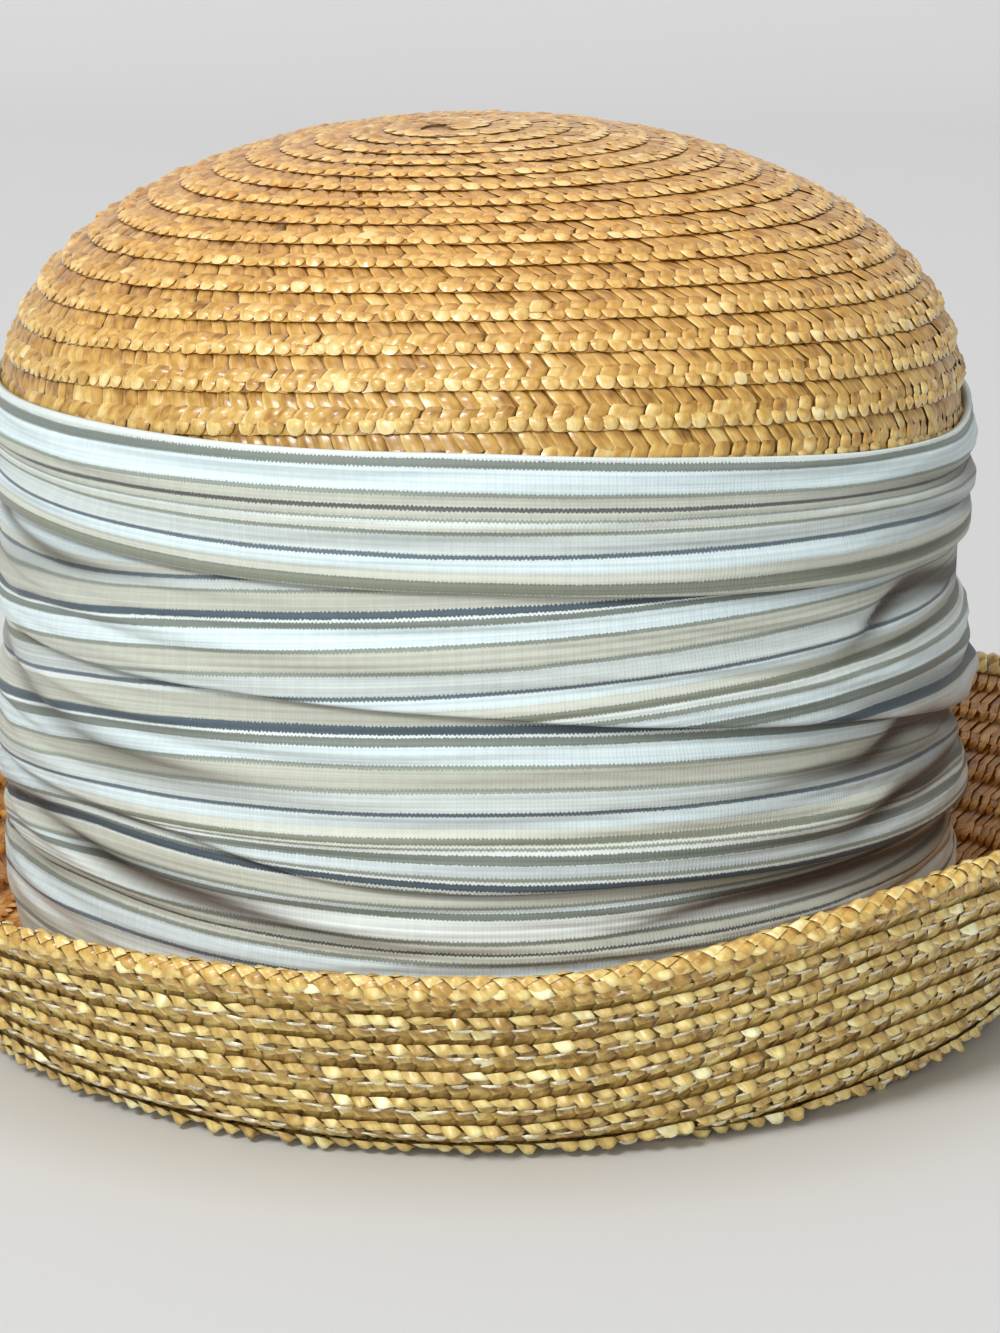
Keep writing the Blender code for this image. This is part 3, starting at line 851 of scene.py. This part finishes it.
# The soft valleys between bulges of the cloth. Columns: name, depth and width in millimetres,
# shade, and then the valley's course as azimuth in degrees, height in millimetres and strength.
VALLEYS = (
    ("side_top", 1.1, 2, 0.6,
     ((40, 104, 0), (51, 103, 0.4), (60, 101.6, 0.8), (75, 99, 1), (92, 98, 1), (118, 98, 0))),
    ("side_upper", 1.1, 2, 0.6,
     ((36, 97.2, 0), (51, 96.8, 0.4), (61, 95.8, 0.8), (79, 92.6, 1), (95, 92, 1), (120, 93, 0))),
    ("over_b", 0.7, 1.4, 0.4,
     ((26, 92.6, 0), (44, 91, 0.7), (56, 90.7, 1), (70, 90, 0.8), (85, 89.4, 0))),
    ("left_lens", 1, 1.6, 0.6,
     ((-110, 93.5, 0), (-85, 94.5, 0.6), (-75, 94.2, 1), (-63, 91.5, 1), (-53, 90.1, 1),
      (-46, 89.9, 0.8), (-38, 90.7, 0.5), (-28, 92.4, 0))),
    ("left_soft", 0.9, 2.6, 0.35,
     ((-85, 83.5, 0.3), (-72, 84.8, 0.8), (-53, 88, 0.8), (-43, 88.8, 0.3), (-36, 89.4, 0))),
    ("pocket", 2.4, 2.5, 1,
     ((39, 76, 0), (43, 77.8, 0.3), (45, 79.9, 0.7), (47, 82.4, 1), (50, 84.2, 1), (54, 84.6, 1),
      (61, 83.4, 1), (70, 81.1, 1), (82, 79.6, 1), (95, 79, 0.7), (120, 80, 0))),
    ("second", 0.9, 2.2, 0.4,
     ((26, 74, 0), (34, 75.1, 0.4), (42, 75.6, 0.8), (51, 75.4, 0.9), (59, 76.2, 1), (68, 76.6, 1),
      (80, 75.6, 0.8), (105, 75, 0))),
    ("third", 1.1, 2.2, 0.5,
     ((34, 65, 0), (42, 65.8, 0.5), (53, 66, 0.9), (64, 65, 1), (74, 63.6, 1), (88, 62.5, 0.8),
      (110, 62, 0))),
    ("left_low", 1.1, 2, 0.5,
     ((-105, 67, 0), (-85, 67.6, 0.8), (-75, 67.2, 1), (-68, 66.1, 1), (-63, 64.3, 0.8),
      (-58, 62.8, 0.4), (-50, 61.5, 0))),
    ("left_broad", 1.1, 3.2, 0.5,
     ((-66, 64, 0), (-57, 62, 0.5), (-51, 60.6, 0.9), (-44, 59, 1), (-34, 58.6, 0.9), (-26, 57.3, 0.4),
      (-14, 56.5, 0))),
    ("under_c", 2.4, 2.3, 1,
     ((40, 55.5, 0), (46, 56.4, 0.4), (50, 57.8, 0.9), (53, 59.2, 1), (57, 59, 1), (65, 56.4, 1),
      (73, 53.6, 1), (81, 50.6, 1), (92, 48.5, 0.7), (112, 47, 0))),
    ("right_soft", 1.2, 2.8, 0.5,
     ((24, 54.3, 0), (33, 55.4, 0.6), (38, 56.2, 1), (44, 55.2, 1), (50, 53.8, 0.9), (58, 52.6, 0.8),
      (67, 51, 0.5), (80, 48.5, 0))),
    ("right_brown", 1.8, 2.4, 0.9,
     ((36, 43.5, 0), (43, 44.6, 0.4), (47, 46.9, 0.9), (52, 48, 1), (59, 47.7, 1), (66, 47.8, 1),
      (74, 47, 0.9), (88, 44.5, 0.6), (110, 43.5, 0))),
    ("right_foot", 1.8, 2.2, 0.8,
     ((12, 32.6, 0), (18, 35, 0.5), (24, 37, 0.9), (34, 37, 1), (44, 36.9, 1), (55, 35.6, 1),
      (71, 33.4, 1), (90, 31.5, 0.8), (120, 31, 0))),
    ("left_roll", 0.7, 1.5, 1,
     ((-120, 31, 0.3), (-100, 32.5, 0.8), (-90, 34.4, 1), (-80, 37.9, 1), (-71, 40.4, 1),
      (-60, 43, 0.8), (-52, 44.2, 0.4), (-44, 44.6, 0))),
    ("left_foot", 1.7, 2.2, 0.8,
     ((-70, 41.6, 0), (-58, 41.2, 0.4), (-50, 40, 0.8), (-45, 38.4, 1), (-39, 37.5, 1), (-34, 36.7, 1),
      (-27, 35.7, 1), (-22, 34.6, 0.9), (-16, 33.3, 0.6), (-8, 32, 0.3), (2, 31.4, 0))),
    ("left_hem", 0.8, 2, 0.4,
     ((-105, 30.5, 0.3), (-85, 30.4, 0.7), (-63, 31.3, 1), (-50, 32, 0.8), (-40, 32.8, 0.5),
      (-25, 33.6, 0))),
    ("back_high", 1.3, 2.6, 0.6,
     ((-110, 104, 0), (-135, 105.5, 0.8), (-165, 103, 1), (165, 101.5, 1), (135, 104, 0.8),
      (112, 105, 0))),
    ("back_middle", 1.6, 2.6, 0.7,
     ((-105, 81, 0), (-130, 83, 0.8), (-160, 79.5, 1), (172, 77, 1), (145, 80.5, 0.8), (118, 84, 0))),
    ("back_low", 1.5, 2.4, 0.7,
     ((-112, 56, 0), (-135, 59, 0.8), (-165, 56, 1), (165, 53, 1), (138, 49.5, 0.8), (115, 46, 0))),
    ("back_foot", 1.4, 2.2, 0.6,
     ((-105, 29, 0), (-130, 31, 0.8), (-160, 34, 1), (170, 33, 1), (140, 29, 0.8), (118, 26.5, 0))),
)

# The band's top edge: azimuth in degrees and height in millimetres.
TOP_EDGE = (
    (-180, 113.5), (-135, 114.3), (-90, 114.9), (-67.5, 115), (-45, 115.7), (-22.5, 115.8), (0, 116.1),
    (22.5, 113.7), (45, 110.2), (67.5, 108), (78, 109), (90, 110.5), (135, 112.5),
)
BAND_FOOT_HEIGHT = 13.0
BAND_STAND = 1.3
BAND_COLUMNS = 360
BAND_ROW = 0.56
BAND_ROUND = 590.0
KNIT_WALE = 0.66

# The cloth's stand from the wall, in millimetres: between bulges, at a bulge, at the foot's lip and
# at the least. Then how much deeper, narrower and darker the valleys are than their tables say.
BAND_LOW = 0.7
BAND_SWELL = 1.0
FOOT_LIP = 0.6
LEAST_STAND = -0.5
VALLEY_DEPTH = 1.4
VALLEY_WIDTH = 0.75
VALLEY_SHADE = 1.25
VALLEY_SHADE_WIDTH = 0.85
FOLD_SHADE = 0.95

# The cloth turned in behind its top edge and behind its foot. Columns: height above the edge and
# stand from the wall, in millimetres, and shade.
TOP_HEM = ((-6.0, -0.75, 0.6), (-3.0, -0.75, 0.6), (-0.8, -0.70, 0.6), (-0.15, -0.35, 0.6))
FOOT_HEM = ((-0.3, -0.2, 0.8), (0.2, -0.8, 1.0), (4.0, -0.85, 1.0))


def smooth_round(values, spread):
    """Smooths values on the band's columns, round the hat."""
    offsets = np.arange(-3 * spread, 3 * spread + 1)
    weights = np.exp(-0.5 * (offsets / spread) ** 2)
    weights /= weights.sum()
    return sum(weight * np.roll(values, offset) for weight, offset in zip(weights, offsets))


def round_values(degrees, points, values, spread=4):
    """Values given at azimuths in degrees, blended round the hat."""
    base = np.array(points, float)
    base = np.concatenate((base - 360, base, base + 360))
    full = np.concatenate((values, values, values))
    order = np.argsort(base)
    return smooth_round(np.interp(degrees, base[order], np.array(full, float)[order]), spread)


def band_columns():
    """The band's azimuths in degrees, its seam at the back."""
    return np.linspace(-180.0, 180.0, BAND_COLUMNS, endpoint=False)


def drawn(table, degrees):
    """Height and strength of a fold or valley on the band's columns."""
    azimuths = [row[0] for row in table]
    height = round_values(degrees, azimuths, [row[1] for row in table], 3)
    strength = round_values(degrees, azimuths, [row[2] for row in table], 3)
    return height, strength


def cloth_position(panel, height, degrees):
    """How far down the cloth a point of a panel lies, from its height."""
    guides = PANEL_GUIDES[panel]
    marks = [guide[0] for guide in guides]
    lines = [round_values(degrees, GUIDE_AZIMUTHS, guide[1:], 5) for guide in guides]
    result = marks[0] + (lines[0] - height)
    for low, high, line, below in zip(marks, marks[1:], lines, lines[1:]):
        share = (line - height) / np.maximum(line - below, 0.2)
        result = np.where(height < line, low + (high - low) * share, result)
    result = np.where(height < lines[-1], marks[-1] + (lines[-1] - height), result)
    return result


# Soft unevenness of the cloth: amount and period in millimetres, turns round the hat, and phase.
WRINKLES = (
    (0.34, 8.0, 1, 0.3),
    (0.24, 5.3, 2, 1.9),
    (0.16, 3.7, 3, 4.4),
    (0.20, 12.0, 4, 2.2),
    (0.09, 2.4, 5, 5.1),
)


def wrinkle(degrees, height):
    """Soft unevenness of the draped cloth, in millimetres."""
    a = np.radians(degrees)
    total = 0.0
    for amount, period, turns, phase in WRINKLES:
        drift = 2.2 * np.sin(turns * a + phase) + 1.1 * np.sin((turns + 2) * a + 2 * phase)
        total = total + amount * np.sin(TAU * (height + drift) / period + phase)
    return total


# Broad bulges and dents. Columns: name, azimuth in degrees, height in millimetres, breadth in
# degrees, tallness and amount in millimetres.
PUFFS = (
    ("right_bump", 89.0, 58.5, 6.0, 3.0, 2.2),
    ("right_dent", 90.0, 80.0, 22.0, 11.0, -1.6),
    ("left_dent", -90.0, 80.0, 20.0, 11.0, -1.2),
    ("left_roll", -90.0, 41.8, 26.0, 4.4, 2.6),
    ("left_low", -90.0, 24.0, 26.0, 8.0, 1.4),
)


class Drape:
    """The draped cloth: its folds and valleys on the band's columns, and its stand from the wall."""

    def __init__(self, degrees):
        self.degrees = degrees
        self.top = round_values(degrees, [row[0] for row in TOP_EDGE], [row[1] for row in TOP_EDGE])
        self.folds = [row[1:4] + drawn(row[4], degrees) for row in FOLDS]
        self.valleys = [row[1:4] + drawn(row[4], degrees) for row in VALLEYS]
        foot = np.full_like(degrees, BAND_FOOT_HEIGHT)
        self.ends = [self.top] + [fold[3] for fold in self.folds] + [foot]

    def stand(self, panel, level):
        """How far a panel's cloth stands from the wall at a height."""
        first, last = self.ends[panel], self.ends[panel + 1]
        share = np.clip((first - level) / (first - last), 0.0, 1.0)
        lip = self.folds[panel][0] * self.folds[panel][4] if panel < len(self.folds) else FOOT_LIP
        total = BAND_LOW + lip * share ** 2 + BAND_SWELL * np.sin(math.pi * share) ** 0.8
        for depth, width, shade, height, strength in self.valleys:
            away = np.hypot(level - height, 0.25) / (VALLEY_WIDTH * width)
            total = total - VALLEY_DEPTH * depth * strength * np.exp(-away)
        for name, azimuth, height, breadth, tall, amount in PUFFS:
            away = ((self.degrees - azimuth) / breadth) ** 2 + ((level - height) / tall) ** 2
            total = total + amount * np.exp(-away)
        ease = np.sin(math.pi * np.clip(share * 1.05, 0.0, 1.0)) ** 0.5
        total = total + wrinkle(self.degrees, level) * ease
        return np.maximum(total, LEAST_STAND)

    def shade(self, panel, level):
        """How shaded the cloth is, below a lip and in the valleys."""
        total = 0.0 * level
        if panel > 0:
            stand, hidden, reach, height, strength = self.folds[panel - 1]
            below = np.maximum(height - level, 0.0) / (reach * strength)
            total = total + FOLD_SHADE * strength * np.exp(-below)
        for depth, width, shade, height, strength in self.valleys:
            away = (level - height) / (VALLEY_SHADE_WIDTH * width)
            total = total + VALLEY_SHADE * shade * strength * np.exp(-away ** 2)
        return np.clip(total, 0.0, 1.0)


def band_grid(degrees):
    """The band's rows of points: stand from the wall, height, cloth position and shade."""
    drape = Drape(degrees)
    rows = []

    def add(stand, level, panel, shade, shift=0.0, at=None):
        """One row; at is the height whose place on the cloth it takes, shifted along the cloth."""
        cloth = cloth_position(panel, level if at is None else at, degrees) + shift
        position = panel * PANEL_SPAN + np.clip(cloth, 0.05, PANEL_SPAN - 0.1)
        rows.append((stand + 0.0 * degrees, level + 0.0 * degrees, position, shade + 0.0 * degrees))

    for rise, stand, shade in TOP_HEM:
        add(stand, drape.top + rise, 0, shade, at=drape.top)
    for panel in range(len(drape.ends) - 1):
        first, last = drape.ends[panel], drape.ends[panel + 1]
        count = int(round((first - last).mean() / BAND_ROW))
        for step in range(count + 1):
            level = first + (last - first) * step / count
            add(drape.stand(panel, level), level, panel, drape.shade(panel, level))
        if panel < len(drape.folds):
            stand, hidden, reach, height, strength = drape.folds[panel]
            lip = drape.stand(panel, height)
            lip_turn = 0.45 * np.minimum(strength, 1.0)
            tuck = hidden * strength
            under = drape.stand(panel + 1, height)
            add(lip - 0.25 * (lip - under), height - lip_turn, panel, 0.4, 0.4, at=height)
            add(lip - 0.70 * (lip - under), height - 0.6 * lip_turn, panel, 0.9, 0.8, at=height)
            add(under, height + tuck * 0.4, panel, 1.0, tuck * 0.4, at=height)
            add(under - 0.2, height + tuck, panel, 1.0, tuck, at=height)
            add(under - 0.3, height + tuck, panel + 1, 1.0)
            add(under - 0.2, height + tuck * 0.4, panel + 1, 1.0)
    for rise, stand, shade in FOOT_HEM:
        add(stand, BAND_FOOT_HEIGHT + rise, len(drape.folds), shade)
    return rows


def band_piece(material):
    """The draped band, one sheet of knit."""
    degrees = band_columns()
    azimuth = np.radians(degrees)
    points, cloth, shade = [], [], []
    for stand, height, position, shaded in band_grid(degrees):
        radius = wall_radius(azimuth, height * MM) + (BAND_STAND + stand) * MM
        row = np.stack((radius * np.sin(azimuth), -radius * np.cos(azimuth), height * MM), axis=-1)
        points.append(np.concatenate((row, row[:1])))
        cloth.append(np.concatenate((position, position[:1])))
        shade.append(np.concatenate((shaded, shaded[:1])))
    points, cloth, shade = np.array(points), np.array(cloth), np.array(shade)
    length = np.broadcast_to(np.linspace(0.0, BAND_ROUND, len(degrees) + 1), cloth.shape)
    quads = grid_quads(len(points), len(degrees) + 1)
    floats = (("cloth", cloth.ravel()), ("length", length.ravel()), ("shade", shade.ravel()))
    return make_piece("draped_band_knit", points.reshape(-1, 3), quads, material, floats)


def knit_material():
    """Fine striped knit: stripes by the cloth's own position, their edges stepped by the wales."""
    nodes = Nodes("striped_knit")
    cloth = nodes.attribute("cloth")
    length = nodes.attribute("length")

    def cloth_noise(along, along_rate, down_rate, detail, roughness=0.5):
        """Noise over the cloth, at one rate along it and another down it."""
        x = nodes.times(along, along_rate)
        y = nodes.times(cloth, down_rate)
        return nodes.noise(nodes.join(x, y, 0.0), 1.0, detail, roughness)

    def wave(source, rate, amount):
        """A sine wave over a source."""
        return nodes.times(nodes.math("SINE", nodes.times(source, rate)), amount)

    wale = nodes.math("DIVIDE", length, KNIT_WALE)
    tooth = nodes.math("PINGPONG", wale, 0.5)
    course = nodes.math("FRACT", wale)
    wander = cloth_noise(length, 0.03, 0.05, 2.0)
    grain = cloth_noise(length, 3.0, 3.0, 1.0)
    position = nodes.sway(cloth, tooth, 0.25, 0.45)
    position = nodes.sway(position, wander, 0.5, 0.6)
    position = nodes.sway(position, grain, 0.5, 0.5)
    result = None
    for panel, stripes in enumerate(PANEL_STRIPES):
        start = panel * PANEL_SPAN
        local = nodes.math("DIVIDE", nodes.math("SUBTRACT", position, start), PANEL_SPAN)
        ends = [0.0] + [end / PANEL_SPAN for name, end in stripes]
        stops = [(at, colour(*KNIT_COLOURS[name])) for at, (name, end) in zip(ends, stripes)]
        tint = nodes.ramp(local, stops, "CONSTANT")
        if result is None:
            result = tint
        else:
            result = nodes.mix(nodes.math("GREATER_THAN", position, start), result, tint)
    ribs = nodes.spread(cloth_noise(length, 0.004, 2.0, 2.0, 0.7), 0.3, 0.7, 0.82, 1.08)
    lines = cloth_noise(nodes.math("FLOOR", wale), 7.31, 0.04, 0.0)
    lines = nodes.spread(lines, 0.35, 0.75, 0.97, 1.03)
    gap = nodes.math("ABSOLUTE", nodes.math("SUBTRACT", course, 0.5))
    gap = nodes.spread(gap, 0.30, 0.5, 1.0, 0.975)
    fade = nodes.times(nodes.times(ribs, lines), gap)
    result = nodes.mix(1.0, result, nodes.join(fade, fade, fade), "MULTIPLY")
    shaded = nodes.mix(1.0, result, (0.13, 0.087, 0.062, 1.0), "MULTIPLY")
    result = nodes.mix(nodes.attribute("shade"), result, shaded)
    nodes.link(result, nodes.shader.inputs["Base Color"])
    nodes.settle({"Roughness": 0.62, "Specular IOR Level": 0.35})
    nodes.settle({"Sheen Weight": 0.20, "Sheen Roughness": 0.35})
    height = nodes.math("ADD", wave(wale, TAU, 0.6), wave(cloth, TAU / 0.55, 0.18))
    height = nodes.math("ADD", height, wave(cloth, TAU / 1.35, 1.2))
    nodes.bump(height, 0.35, 0.00008)
    return nodes.material


band = band_piece(knit_material())

# What rides and what it replaces.
for piece, node, slot in (
    (crown_braid, "crown_tip", "crown_straw"),
    (crown_skin, "crown_wall", "crown_straw"),
    (crown_inside, "crown_tip", "crown_straw"),
    (crown_inner_skin, "crown_wall", "crown_straw"),
    (brim_braid, "brim_face", "brim_straw"),
    (brim_skin, "brim_roll", "brim_straw"),
    (brim_roll_braid, "brim_roll", "brim_straw"),
    (brim_inside, "brim_face", "brim_straw"),
    (brim_inner_skin, "brim_roll", "brim_straw"),
    (rim_braid, "brim_face", "brim_straw"),
    (rim_skin, "brim_face", "brim_straw"),
    (brim_thread, "brim_face", "brim_straw"),
    (band, "draped_band", "band_knit"),
):
    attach(piece, "root")
    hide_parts(node)

# Studio: a pale floor that bends up into a back wall, and three soft lights.
FLOOR_LEVEL = -0.0018
FLOOR_HALF_WIDTH = 4.0
BEND_START = 1.6
BEND_RADIUS = 1.0

floor_nodes = Nodes("pale_floor")
floor_nodes.settle({"Base Color": (0.675, 0.675, 0.675, 1.0), "Roughness": 0.9, "Specular IOR Level": 0.1})

bend = np.linspace(0.0, math.pi / 2, 16)[1:]
back_y = [-2.5, BEND_START, *(BEND_START + BEND_RADIUS * np.sin(bend)), BEND_START + BEND_RADIUS]
back_z = [0.0, 0.0, *(BEND_RADIUS - BEND_RADIUS * np.cos(bend)), 4.0]
floor_points = np.array([
    (side * FLOOR_HALF_WIDTH, y, z + FLOOR_LEVEL)
    for y, z in zip(back_y, back_z)
    for side in (-1.0, 1.0)
])
floor = make_piece("floor", floor_points, grid_quads(len(back_y), 2)[:, ::-1], floor_nodes.material)


def area_light(name, place, target, size, power):
    """A square soft light aimed at a point."""
    light = bpy.data.lights.new(name, "AREA")
    light.shape = "SQUARE"
    light.size = size
    light.energy = power
    lamp = bpy.data.objects.new(name, light)
    bpy.context.scene.collection.objects.link(lamp)
    lamp.location = place
    lamp.rotation_mode = "QUATERNION"
    lamp.rotation_quaternion = (Vector(target) - Vector(place)).to_track_quat("-Z", "Y")


# Columns: name, place, target, size in metres, power in watts.
LIGHTS = (
    ("key_light", (-2.90, -5.00, 5.30), (0.0, 0.0, 0.06), 1.8, 370.0),
    ("front_light", (-1.50, -6.20, 1.50), (0.0, 0.0, 0.08), 2.0, 96.0),
    ("top_light", (-0.10, -0.60, 6.40), (0.0, 0.0, 0.05), 4.4, 85.0),
)
for row in LIGHTS:
    area_light(*row)

world = bpy.data.worlds.new("studio")
bpy.context.scene.world = world
world.use_nodes = True
background = world.node_tree.nodes["Background"]
background.inputs["Color"].default_value = (1.0, 1.0, 1.0, 1.0)
background.inputs["Strength"].default_value = 0.36
bpy.context.scene.view_settings.view_transform = "Standard"

# The camera: the focal length in pixels of the photo, which is 1333 pixels high.
FOCAL_PIXELS = 3687.0
PHOTO_HEIGHT = 1333.0
SENSOR_WIDTH = 36.0
CAMERA_TILT = 14.0

camera_data = bpy.data.cameras.new("camera")
camera_data.sensor_width = SENSOR_WIDTH
camera_data.lens = FOCAL_PIXELS / PHOTO_HEIGHT * SENSOR_WIDTH
camera_data.clip_start = 0.05
camera_data.clip_end = 20.0
camera = bpy.data.objects.new("camera", camera_data)
bpy.context.scene.collection.objects.link(camera)
camera.location = (0.0032, -0.680, 0.2255)
camera.rotation_euler = (math.radians(90.0 - CAMERA_TILT), 0.0, 0.0)
bpy.context.scene.camera = camera
